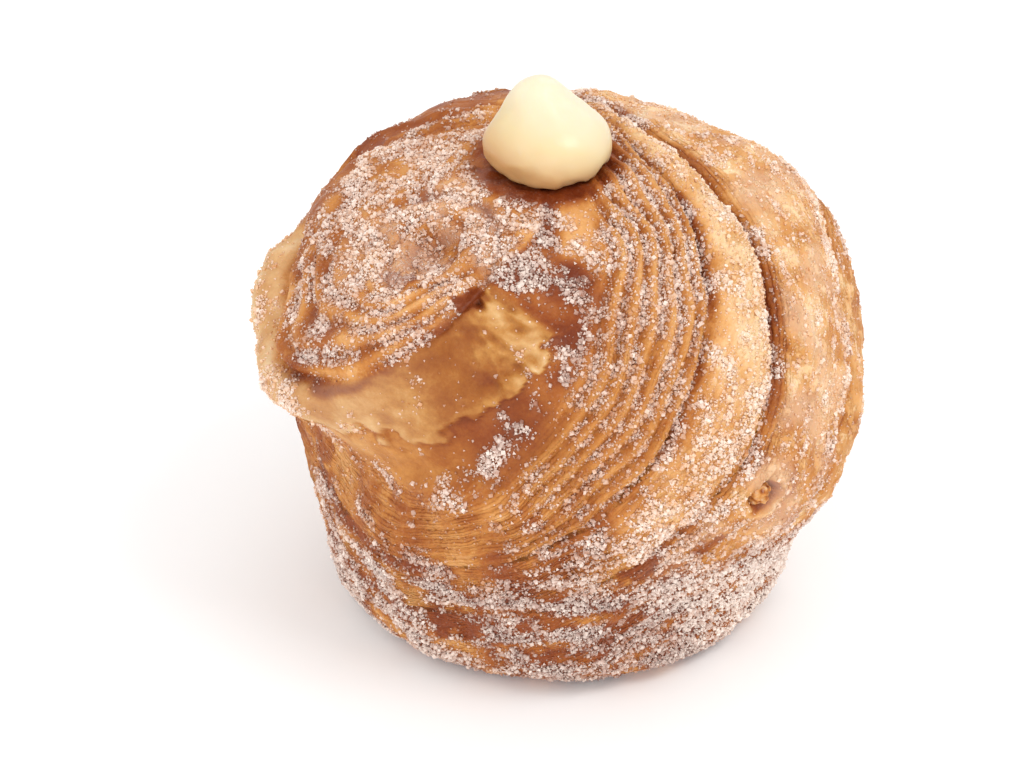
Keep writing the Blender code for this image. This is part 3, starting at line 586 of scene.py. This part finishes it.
def tone_of(at, zone, leaf):
    """How pale the crust is, 0 scorched to 1 pale: how long it baked, with painted shade in valleys, seams,
    folds, the broken blister and round the cream, and painted light on leaf flanks, fold crests and the torn
    edge.
    """
    points, alpha, beta, share = at["points"], at["alpha"], at["beta"], at["share"]
    valley = valley_of(leaf, 0.26)
    lit_flank = hump(part_of(leaf), 0.72, 0.2)
    worn = 0.16 * (1 - fade(share, 0.05, 0.35)) + 0.16 * zone.worn_pale
    tone = settle(
        0.49 + 0.06 * ripple(points, 15, 71) + 0.05 * ripple(points, 6, 72),
        # On the pale band the leaves' valleys get painted shade.
        (0.94 - 0.07 * valley - worn + 0.05 * ripple(points, 5, 68), zone.pale),
        (0.80 - 0.16 * zone.dark_outer + 0.08 * ripple(points, 7, 73), zone.outer),
        (0.70 + 0.08 * ripple(points, 6, 78), zone.side),
        (smooth_ring(beta, SKIRT_TONE) + 0.04 * ripple(points, 5, 76), zone.skirt),
        (smooth_ring(beta, BELOW_TONE) + 0.04 * ripple(points, 6, 77), zone.below))
    # Painted light on the crests of the ruffled folds and creases, painted shade in their hollows.
    tone += 0.10 * ruffles(at) * zone.crumple + 0.04 * crinkles(at) * zone.skirt
    # Painted light along the torn edge of the skin and a painted shadow line just under it.
    hem = 0.10 * hump(zone.torn, -1.3, 1.0) - 0.12 * hump(zone.torn, 0.7, 0.6)
    tone += hem * zone.hem
    # Along the wraps the leaves' flanks get painted light and their valleys painted shade.
    tone += zone.wraps * (0.02 + 0.09 * lit_flank - 0.15 * valley + 0.05 * ripple(points, 9, 79))
    tone = settle(tone, (0.20 + 0.07 * ripple(points, 6, 75), zone.shoulder), (0.72, zone.flap),
                  (0.65 + 0.11 * zone.right_fan, 0.75, zone.fan))
    tone -= 0.07 * zone.dark_fan * between(alpha, 60, 80, 4)
    # On the fan too: painted light on the leaves' flanks, painted shade in their valleys.
    tone += zone.fan * (0.05 * lit_flank - (0.15 + 0.14 * zone.right_fan) * valley)
    # On the knob's arcs: painted light on the flanks, painted shade in the valleys, deeper round to the
    # right.
    deep = 0.17 + 0.06 * fade(beta, 225, 245)
    tone += zone.knob * 0.03 + zone.arcs * (0.09 * lit_flank - deep * valley)
    tone += 0.16 * zone.roll * roll_lines(at)
    tone += (0.46 - tone) * zone.eye + 0.22 * whorl(at)
    # Painted light and shade on the leaves of the layers.
    tone += zone.layers * (0.02 + 0.05 * lit_flank - 0.05 * valley)
    brown = hump(alpha - at["inner"], 1.2 + 0.5 * ripple(points, 6, 80), 1.7) * zone.brown
    foot = 0.35 - 0.10 * zone.dark_foot - 0.11 * zone.bands + 0.07 * ripple(points, 6, 74)
    # The foot's valleys get painted shade.
    tone = settle(tone, (foot - 0.08 * valley, zone.foot), (0.13, 0.8, brown))
    # Painted shade darkens the seams, as deep as each is cut, less in the deep groove and where the seam is
    # soft.
    seam = hump(alpha, at["inner"], 1.1) * np.clip(smooth_line(at["wound"], SEAM_CUT), 0, 1.2)
    seam += hump(alpha, at["outer"], 1.1) * np.clip(smooth_line(at["wound"] + 360, SEAM_CUT), 0, 1.2)
    tone -= (0.26 - 0.12 * zone.groove) * seam * (1 - 0.6 * zone.soft_seam)
    tone += zone.groove * (0.10 * groove_lines(at) - 0.03)
    # A dark sliver along the knob's edge beside the tip, dark crust with painted shade, and the browned rim.
    tone -= 0.3 * zone.sliver + 0.17 * zone.rim
    # Dark round and under the cream: caramel with painted shade where the cream meets the crust.
    tone -= 0.36 * (1 - fade(zone.cream, 0.95, 1.25))
    for strength, patch_tone, _ in patched(at):
        tone += (patch_tone - tone) * strength
    # The broken blister: a pale raised rim of flaky skin, with painted shade darkening its hollow walls and
    # middle.
    hole = zone.hole
    tone += 0.28 * hump(hole, 1.5, 0.4) - 0.42 * hump(hole, 0.75, 0.25) - 0.2 * hump(hole, 0, 0.5)
    return bound(tone)


def sugar_of(at, zone, leaf):
    """How thick sugar lies at each point, 0 to 1: clumps with bare crust between them."""
    points, alpha, beta, share = at["points"], at["alpha"], at["beta"], at["share"]
    valley = valley_of(leaf, 0.24)
    right = zone.right_foot
    cover = settle(
        0.30 + 0 * alpha,
        (0.68 - 0.08 * fade(beta, 60, 120) * fade(-beta, -200, -150), zone.knob),
        (0.66 - 0.46 * fade(alpha, 20, 29) * zone.bare_shoulder, zone.shoulder),
        (0.32, zone.flap), (0.48 + 0.20 * zone.sugared_fan, zone.fan),
        (0.14 + 0.54 * fade(share, 0.55, 0.9) + 0.24 * zone.sugared_pale, zone.pale),
        (0.26 + 0.16 * ripple(points, 19, 88), zone.wraps, 1 - zone.foot))
    cover += (0.10 + 0.22 * fade(share, 0.6, 0.8) - cover) * zone.outer + (0.05 - cover) * zone.side
    cover = settle(cover, (0.48, zone.front, between(alpha, 70, 92, 4)), (0.06, zone.layers),
                   (0.01, np.maximum(zone.skirt, zone.below)))
    cover += 0.75 * hump(alpha, 49 - 0.33 * (beta - 270), 3.4) * zone.heap
    cover = settle(cover, (0.20, zone.roll), (0.48, zone.eye), (0.60 + 0.14 * right, zone.foot))
    for strength, _, patch_sugar in patched(at):
        cover += (patch_sugar - cover) * strength
    flowing = np.stack([leaf * 2.4, at["wound"] * 0.22, 0 * leaf], 1)
    clump = 0.6 * ripple(points, 5.5, 81) + 0.55 * ripple(points, 2.4, 82) + 0.5 * ripple(flowing, 3.5, 83)
    clump += ((0.9 - 0.4 * right) * zone.bands + 0.6 * ripple(points, 2.4, 86) - clump) * zone.foot
    rank = 1 / (1 + np.exp(-1.7 * clump))
    soft = 0.06 + 0.24 * bound(3 * cover)
    stray = 0.12 + 0.35 * bound(zone.fan * (1 - valley) + zone.outer + zone.pale)
    thick = fade(rank, 1 - cover - soft, 1 - cover + soft) + stray * np.clip(cover, 0, 0.4)
    clear = fade(zone.cream, 1.0, 1.2)
    clear = clear * (1 - 0.95 * zone.rim) * (1 - zone.sliver)
    clear = clear * (1 - 0.9 * between(zone.across, 0.9, 1.02, 0.02) * zone.knob_edge)
    ridged = bound(zone.fan + zone.arcs + 0.3 * zone.foot)
    clear = clear * (1 - 0.9 * ridged * (1 - valley))
    return bound(thick) * clear * fade(zone.hole, 1.0, 2.0) * fade(zone.high, 0.6, 2.0)


def whiteness_of(at, zone, cover, leaf):
    """How white the sugar looks, 0 clear to 1 milky: whitest where it is heaped."""
    upper_right = zone.upper_right
    white = 0.26 + 0.38 * bound(cover) + 0.06 * ripple(at["points"], 4, 87)
    # Sugar in the fan's valleys at the upper right is painted whiter against the shade that falls there;
    # elsewhere on the fan it is clearer.
    white += zone.fan * (0.16 * upper_right * valley_of(leaf, 0.24) - 0.12 * (1 - upper_right))
    white += zone.foot * (0.06 + 0.22 * zone.white_foot - 0.12 * zone.clear_foot)
    white -= weigh(zone, CLEAR)
    return bound(white)


def ball_mesh(name, segments, rings, axes, warp=None):
    """A ball of quads with its pole on the third axis. Returns its mesh and the ray of each vertex."""
    polar = np.linspace(0, 180, rings + 1)[1:-1]
    if warp:
        polar = warp(polar)
    around = np.linspace(0, 2 * np.pi, segments, endpoint=False)
    polar, around = np.meshgrid(np.radians(polar), around, indexing="ij")
    rays = np.stack([np.sin(polar) * np.cos(around), np.sin(polar) * np.sin(around), np.cos(polar)], -1)
    rays = np.vstack([rays.reshape(-1, 3), (0, 0, 1), (0, 0, -1)])
    corner = np.arange(len(rays) - 2).reshape(-1, segments)
    beside = np.roll(corner, -1, axis=1)
    quads = np.stack([corner[:-1], corner[1:], beside[1:], beside[:-1]], -1).reshape(-1, 4)
    top, bottom = np.full(segments, len(rays) - 2), np.full(segments, len(rays) - 1)
    first, last = np.stack([top, corner[0], beside[0]], 1), np.stack([bottom, beside[-1], corner[-1]], 1)
    mesh = bpy.data.meshes.new(name)
    mesh.from_pydata(rays.tolist(), [], quads.tolist() + first.tolist() + last.tolist())
    return mesh, rays @ axes


def denser_front(polar):
    """Spends FINE_SHARE of the rings on the first FINE_ALPHA degrees."""
    inner = polar / (180 * FINE_SHARE) * FINE_ALPHA
    outer = FINE_ALPHA + (polar - 180 * FINE_SHARE) / (180 * (1 - FINE_SHARE)) * (180 - FINE_ALPHA)
    return np.where(polar < 180 * FINE_SHARE, inner, outer)


def set_points(mesh, points):
    mesh.vertices.foreach_set("co", (points * MM).astype(np.float32).ravel())
    mesh.update()
    mesh.shade_smooth()


def store(mesh, name, values):
    """Keeps a value or vector for each vertex, for the material to read."""
    kind, key = ("FLOAT", "value") if values.ndim == 1 else ("FLOAT_VECTOR", "vector")
    layer = mesh.attributes.new(name, kind, "POINT")
    layer.data.foreach_set(key, values.astype(np.float32).ravel())


def link(thing):
    bpy.context.scene.collection.objects.link(thing)
    return thing


def add_piece(name, mesh, material, slot, *nodes):
    piece = link(bpy.data.objects.new(name, mesh))
    mesh.materials.append(material)
    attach(piece, "root")
    if nodes:
        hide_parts(*nodes)
    return piece


# --- materials ---

class Tree:
    """Short calls for building a material's nodes."""

    def __init__(self, name):
        self.material = bpy.data.materials.new(name)
        self.material.use_nodes = True
        self.nodes = self.material.node_tree.nodes
        self.links = self.material.node_tree.links
        self.shader = self.nodes["Principled BSDF"]

    def add(self, kind, inputs=(), **settings):
        node = self.nodes.new(kind)
        for key, value in settings.items():
            setattr(node, key, value)
        for key, value in dict(inputs).items():
            self.put(node, key, value)
        return node

    def put(self, node, key, value):
        if hasattr(value, "is_output"):
            self.links.new(value, node.inputs[key])
        else:
            node.inputs[key].default_value = value

    def shade(self, inputs):
        """Links or sets sockets of the material's own shader."""
        for key, value in inputs.items():
            self.put(self.shader, key, value)

    def math(self, operation, a, b=0.0, clamp=False):
        node = self.add("ShaderNodeMath", {0: a, 1: b}, operation=operation, use_clamp=clamp)
        return node.outputs[0]

    def times(self, a, b):
        return self.math("MULTIPLY", a, b)

    def centred(self, value, depth):
        """A 0 to 1 value as a swing about 0."""
        return self.times(self.math("SUBTRACT", value, 0.5), depth)

    def sum(self, *values):
        total = values[0]
        for value in values[1:]:
            total = self.math("ADD", total, value)
        return total

    def value(self, name, kind="Fac"):
        return self.add("ShaderNodeAttribute", attribute_name=name).outputs[kind]

    def place(self):
        return self.add("ShaderNodeTexCoord").outputs["Object"]

    def noise(self, vector, scale, detail, roughness):
        inputs = {"Vector": vector, "Scale": scale, "Detail": detail, "Roughness": roughness}
        return self.add("ShaderNodeTexNoise", inputs).outputs["Fac"]

    def rise(self, value, start, end):
        """Rises from 0 at start to 1 at end."""
        return self.add("ShaderNodeMapRange", {0: value, 1: start, 2: end}).outputs[0]

    def ramp(self, fac, stops):
        """A colour for each level, from stops of (level, display colour)."""
        node = self.add("ShaderNodeValToRGB", {"Fac": fac})
        elements = node.color_ramp.elements
        while len(elements) < len(stops):
            elements.new(0.5)
        for element, (level, colour) in zip(elements, stops):
            element.position = level
            element.color = (*linear(colour), 1)
        return node.outputs["Color"]

    def mix(self, fac, a, b, blend="MIX"):
        node = self.add("ShaderNodeMix", data_type="RGBA", blend_type=blend)
        self.put(node, 0, fac)
        self.put(node, 6, a)
        self.put(node, 7, b)
        return node.outputs[2]

    def bump(self, height, distance, strength):
        node = self.add("ShaderNodeBump", {"Height": height, "Distance": distance, "Strength": strength})
        return node.outputs["Normal"]


def crust_material():
    """Baked dough: tone by how long it baked, with the painted light and shade that the tone carries, streaks
    along the strip, blotches, thin lines, sugar film.
    """
    tree = Tree("crust_baked")
    place = tree.place()
    streak = tree.noise(tree.value("flow", "Vector"), 1.0, 4.0, 0.6)
    blotch = tree.noise(place, 260.0, 5.0, 0.65)
    speck = tree.noise(place, 1500.0, 3.0, 0.7)
    patch = tree.noise(place, 90.0, 2.0, 0.5)
    # Above 1, lined says how straight and unbroken the lines are.
    lined = tree.value("lined")
    clean = tree.rise(lined, 1.0, 2.0)
    swing = tree.math("SUBTRACT", 1.7, tree.times(clean, 1.1))
    ragged = tree.sum(tree.value("strand"), tree.centred(tree.noise(place, 420.0, 5.0, 0.7), swing))
    wave = tree.math("ABSOLUTE", tree.math("SINE", tree.times(ragged, math.pi)))
    line = tree.math("SUBTRACT", tree.math("POWER", wave, 0.5), 0.8)
    worn = tree.rise(tree.noise(place, 170.0, 3.0, 0.6), 0.40, 0.60)
    worn = tree.sum(worn, tree.times(clean, 0.5))
    shown = tree.math("MINIMUM", lined, 1.0)
    lines = tree.times(tree.times(line, tree.times(worn, LINE_SWING)), shown)
    flake = tree.math("SUBTRACT", tree.rise(tree.noise(place, 330.0, 6.0, 0.72), 0.50, 0.57), 0.4)
    flaky = tree.times(flake, tree.times(tree.value("flaked"), FLAKE_SWING))
    tone = tree.sum(tree.value("tone"), tree.times(tree.centred(streak, STREAK_SWING), shown), flaky,
                    tree.centred(patch, PATCH_SWING), tree.centred(blotch, BLOTCH_SWING),
                    tree.centred(speck, SPECK_SWING), lines)
    colour = tree.mix(tree.value("skin"), tree.ramp(tone, TONES), SKIN_TINT, "MULTIPLY")
    dusty = tree.times(tree.rise(tree.noise(place, 2400.0, 2.0, 0.5), 0.55, 0.64), tree.value("dust"))
    film = tree.math("ADD", tree.value("film"), dusty, clamp=True)
    skin = tree.sum(tree.noise(place, 900.0, 4.0, 0.6), tree.times(blotch, 0.9),
                    tree.times(flaky, 2.5), tree.times(lines, 4.0), dusty)
    tree.shade({"Base Color": tree.mix(film, colour, (*linear(SUGAR_FILM), 1)),
                "Roughness": tree.sum(tree.times(tone, 0.25), 0.32),
                "Normal": tree.bump(skin, 0.0002, 0.9),
                "Specular IOR Level": 0.2, "Subsurface Weight": 0.1,
                "Subsurface Radius": (1.0, 0.45, 0.2), "Subsurface Scale": 0.0014})
    return tree.material


def cream_material():
    """Glossy pastry cream, paler towards its peak and its right side with painted light, and darker low and
    on the left with painted shade over some real stain.
    """
    tree = Tree("cream_glossy")
    place = tree.place()
    axes = tree.add("ShaderNodeSeparateXYZ", {0: place}).outputs
    # The level that paints light and shade on the cream rises with height and towards the right.
    height = tree.sum(axes["Z"], tree.times(axes["X"], CREAM_LIGHT_SLANT))
    level = tree.rise(height, CREAM_LIT_LEVELS[0] * MM, CREAM_LIT_LEVELS[1] * MM)
    level = tree.sum(level, tree.centred(tree.noise(place, 120.0, 2.0, 0.55), 0.3))
    tree.shade({"Base Color": tree.ramp(level, CREAM_LIT_TONES), "Roughness": 0.32,
                "Normal": tree.bump(tree.noise(place, 420.0, 3.0, 0.55), 0.00012, 0.5),
                "Subsurface Weight": 0.35, "Subsurface Radius": (1.0, 0.75, 0.35),
                "Subsurface Scale": 0.003})
    return tree.material


def sugar_material():
    """Crystals from clear to milky, with the colour of the crust they lie on painted in for the light that
    shows through them.
    """
    tree = Tree("sugar_crystal")
    crust = tree.ramp(tree.value("tone"), TONES)
    tree.shade({"Base Color": tree.mix(tree.value("milk"), crust, (*linear(SUGAR_WHITE), 1)),
                "Roughness": 0.16, "IOR": 1.5})
    return tree.material


# --- pieces ---

def crust_fields(rays):
    """Each point's place in the coil and its reach with fine relief, its stretches and its leaf."""
    at = swirl(rays)
    at["rays"] = rays
    at["reach"] = crust_reach(rays)
    zone = zones(at)
    leaf = leaf_number(at)
    at["reach"] = at["reach"] + fine_relief(at, zone, leaf)
    return at, zone, leaf


def store_looks(mesh, at, zone, leaf, cover):
    """Thin lines and the way that streaks run, then bare skin, sugar film, dust and flakes."""
    from_seam = at["alpha"] - at["inner"]
    strand = STRANDS * leaf + 0.12 * ripple(at["points"], 9, 51)
    store(mesh, "strand", np.where(zone.groove > 0.02, from_seam / GROOVE_STRAND, strand))
    lined = bound(weigh(zone, LINED))
    store(mesh, "lined", lined + zone.groove * (2 - lined))
    store(mesh, "flow", np.stack([from_seam * 1.3, at["wound"] * 0.035, at["wound"] * 0.02], 1))
    store(mesh, "skin", bound(zone.skirt + 0.4 * zone.below))
    bloom = 0.3 * zone.outer * fade(ripple(at["points"], 9, 62), -0.8, 1.2)
    powder = zone.knob * (1 - fade(at["alpha"], 8, 24)) * fade(ripple(at["points"], 7, 63), -0.9, 0.6)
    skin = 0.10 * zone.skirt * (1 - fade(at["beta"], 235, 275))
    store(mesh, "film", bound(0.05 * cover + bloom + 0.3 * powder + skin))
    bare = bound(zone.skirt + zone.below + zone.sliver + zone.rim)
    bare = np.maximum(bare, 0.8 * zone.shoulder)
    store(mesh, "dust", bound(0.05 + 0.34 * cover + 0.4 * powder) * (1 - 0.9 * bare))
    store(mesh, "flaked", np.clip(weigh(zone, FLAKED, 0.5) - 0.4 * bare, 0, 1.4))


def make_crust():
    """The crust, and the thickness of its sugar, its tone and its sugar's whiteness at each vertex."""
    axes = np.stack([ACROSS, OVER, EYE])
    mesh, rays = ball_mesh("crust", CRUST_SEGMENTS, CRUST_RINGS, axes, denser_front)
    at, zone, leaf = crust_fields(rays)
    points = HEART + at["reach"][:, None] * rays
    points[:, 2] = np.maximum(points[:, 2], 0)
    set_points(mesh, points)
    cover = sugar_of(at, zone, leaf)
    tone = tone_of(at, zone, leaf)
    store(mesh, "tone", tone)
    store_looks(mesh, at, zone, leaf, cover)
    crust = add_piece("crust", mesh, crust_material(), "crust", "pastry")
    return crust, cover, tone, whiteness_of(at, zone, cover, leaf)


def make_crumb(material):
    """The rough lump of crumb that shows in the broken blister."""
    mesh, rays = ball_mesh("crumb", CRUMB_SEGMENTS, CRUMB_RINGS, np.eye(3))
    points = rays * CRUMB_RADIUS
    out = unit(np.array(HOLE_POINT) - HEART)
    middle = HEART + out * (crust_reach(out[None]) - CRUMB_SINK)
    rough = sum(depth * ripple(points, length, seed) for depth, length, seed in CRUMB_ROUGH)
    set_points(mesh, middle + (CRUMB_RADIUS + rough)[:, None] * rays)
    store(mesh, "tone", bound(CRUMB_TONE + 0.16 * ripple(points, 1.2, 97)))
    store(mesh, "dust", np.full(len(rays), CRUMB_DUST))
    return add_piece("crumb", mesh, material, "crust")


def make_dollop():
    mesh, rays = ball_mesh("dollop", DOLLOP_SEGMENTS, DOLLOP_RINGS, np.eye(3))
    points = rays * DOLLOP_RADIUS
    low = 1 - fade(rays[:, 2], -0.55, -0.1)
    reach = cream_reach(rays) + DOLLOP_LUMPS * ripple(points, 6, 91)
    reach = reach - DOLLOP_EDGE * low * fade(ripple(points, 3.4, 92), -0.4, 1.6)
    set_points(mesh, CREAM_HEART + reach[:, None] * rays)
    return add_piece("dollop", mesh, cream_material(), "cream", "cream")


def surface_spots(crust, cover, count, draw):
    """Points and normals spread over the crust as thick as cover says, and the crust's corners there."""
    mesh = crust.data
    mesh.calc_loop_triangles()
    corners = np.empty(len(mesh.loop_triangles) * 3, int)
    mesh.loop_triangles.foreach_get("vertices", corners)
    corners = corners.reshape(-1, 3)
    points = np.empty(len(mesh.vertices) * 3, np.float32)
    mesh.vertices.foreach_get("co", points)
    triangle = points.reshape(-1, 3)[corners].astype(float) / MM
    normal = np.cross(triangle[:, 1] - triangle[:, 0], triangle[:, 2] - triangle[:, 0])
    area = np.linalg.norm(normal, axis=1) / 2
    weight = area * cover[corners].mean(1)
    weight[area < 1e-9] = 0
    chosen = draw.choice(len(corners), count, p=weight / weight.sum())
    u, v = draw.uniform(size=(2, count, 1))
    u, v = np.where(u + v > 1, 1 - u, u), np.where(u + v > 1, 1 - v, v)
    a, b, c = triangle[chosen].transpose(1, 0, 2)
    return a + (b - a) * u + (c - a) * v, unit(normal[chosen]), corners[chosen]


def random_turns(count, draw):
    """Rotation matrices spread evenly over all turns."""
    w, x, y, z = unit(draw.normal(size=(count, 4))).T
    return np.stack([1 - 2 * (y * y + z * z), 2 * (x * y - w * z), 2 * (x * z + w * y),
                     2 * (x * y + w * z), 1 - 2 * (x * x + z * z), 2 * (y * z - w * x),
                     2 * (x * z - w * y), 2 * (y * z + w * x), 1 - 2 * (x * x + y * y)], 1).reshape(-1, 3, 3)


# A crystal is a box, an eight-sided bead or a four-sided chip: its corners, and its faces as rows of corners.
CRYSTALS = dict(
    box=(np.array([(x, y, z) for x in (-0.5, 0.5) for y in (-0.5, 0.5) for z in (-0.5, 0.5)]),
         ((0, 1, 3, 2), (4, 6, 7, 5), (0, 4, 5, 1), (2, 3, 7, 6), (0, 2, 6, 4), (1, 5, 7, 3))),
    bead=(np.array([(0.6, 0, 0), (-0.6, 0, 0), (0, 0.6, 0), (0, -0.6, 0), (0, 0, 0.6), (0, 0, -0.6)]),
          ((0, 2, 4), (2, 1, 4), (1, 3, 4), (3, 0, 4), (2, 0, 5), (1, 2, 5), (3, 1, 5), (0, 3, 5))),
    chip=(np.array([(0.5, 0.5, 0.5), (0.5, -0.5, -0.5), (-0.5, 0.5, -0.5), (-0.5, -0.5, 0.5)]),
          ((0, 1, 2), (0, 3, 1), (0, 2, 3), (1, 3, 2))))


def make_sugar(kind, crust, cover, tone, white, material):
    """One mesh of loose crystals at all turns, partly sunk where they lie and heaped where thick."""
    name, form, count, sizes, spread, seed = kind
    draw = np.random.default_rng(seed)
    shape, sides = CRYSTALS[form]
    spots, normals, under = surface_spots(crust, cover ** spread, count, draw)
    thick = cover[under].mean(1)
    size = draw.uniform(*sizes, (count, 1)) * draw.uniform(*STRETCH, (count, 3))
    lift = draw.uniform(*STAND, count) * size.min(1)
    lift = lift + HEAP * bound(thick - HEAPED_FROM) * draw.uniform(0, 1, count)
    middle = spots + normals * lift[:, None]
    corners = shape * size[:, None, :] * draw.uniform(*CORNER_REACH, (count, len(shape), 1))
    points = middle[:, None, :] + np.einsum("nij,nkj->nki", random_turns(count, draw), corners)
    faces = np.array(sides)[None] + len(shape) * np.arange(count)[:, None, None]
    mesh = bpy.data.meshes.new(name)
    mesh.from_pydata((points.reshape(-1, 3) * MM).tolist(), [], faces.reshape(-1, len(sides[0])).tolist())
    # Each crystal gets the tone of the crust under it, painted in as the light that shows through it.
    store(mesh, "tone", np.repeat(tone[under].mean(1), len(shape)))
    milk = white[under].mean(1) + draw.uniform(*MILK, count)
    milk = np.repeat(milk, len(shape)) + draw.uniform(*CORNER_MILK, count * len(shape))
    store(mesh, "milk", np.clip(milk, LEAST_MILK, 1))
    if form == "bead":
        mesh.shade_smooth()
    return add_piece(name, mesh, material, "sugar")


# --- studio ---

CAMERA_ELEVATION, CAMERA_DISTANCE = 30.0, 412.0
CAMERA_TARGET = (-6.7, 0.0, 32.3)
LENS = 100.0
LIGHT_TARGET = (0, 0, 35)
FLOOR_REACH, FLOOR_GREY, FLOOR_GLOW = 3.0, 0.98, 0.07
STUDIO_LIGHT = 0.9

# Name, place, width and power of each soft light.
LIGHTS = (("key", (260, -180, 480), 200, 0.75), ("front", (-80, -600, 60), 420, 0.8),
          ("left", (-420, -260, 320), 320, 0.35), ("back", (120, 420, 420), 300, 0.3))


def look_at(thing, place, target):
    thing.location = Vector(place) * MM
    thing.rotation_mode = "QUATERNION"
    thing.rotation_quaternion = (Vector(target) - Vector(place)).to_track_quat("-Z", "Y")


def make_camera():
    camera = link(bpy.data.objects.new("camera", bpy.data.cameras.new("camera")))
    camera.data.lens = LENS
    camera.data.clip_start = 0.01
    tip = math.radians(CAMERA_ELEVATION)
    back = Vector((0, -math.cos(tip), math.sin(tip)))
    look_at(camera, Vector(CAMERA_TARGET) + back * CAMERA_DISTANCE, CAMERA_TARGET)
    bpy.context.scene.camera = camera


def make_light(name, place, width, power):
    lamp = bpy.data.lights.new(name, "AREA")
    lamp.size, lamp.energy = width * MM, power
    look_at(link(bpy.data.objects.new(name, lamp)), place, LIGHT_TARGET)


def make_floor():
    mesh = bpy.data.meshes.new("floor")
    corners = [(x * FLOOR_REACH, y * FLOOR_REACH, 0) for x, y in ((-1, -1), (1, -1), (1, 1), (-1, 1))]
    mesh.from_pydata(corners, [], [(0, 1, 2, 3)])
    tree = Tree("floor_pale")
    tree.shade({"Base Color": (FLOOR_GREY, FLOOR_GREY, FLOOR_GREY, 1), "Roughness": 0.9,
                "Emission Color": (1, 1, 1, 1), "Emission Strength": FLOOR_GLOW})
    mesh.materials.append(tree.material)
    piece = link(bpy.data.objects.new("floor", mesh))


def make_studio():
    make_floor()
    world = bpy.data.worlds.new("studio")
    world.use_nodes = True
    background = world.node_tree.nodes["Background"]
    background.inputs["Color"].default_value = (1, 1, 1, 1)
    background.inputs["Strength"].default_value = STUDIO_LIGHT
    bpy.context.scene.world = world
    for light in LIGHTS:
        make_light(*light)
    bpy.context.scene.view_settings.view_transform = "Standard"


def main():
    crust, cover, tone, white = make_crust()
    make_crumb(crust.data.materials[0])
    make_dollop()
    crystal = sugar_material()
    for kind in SUGAR_KINDS:
        make_sugar(kind, crust, cover, tone, white, crystal)
    make_studio()
    make_camera()


main()
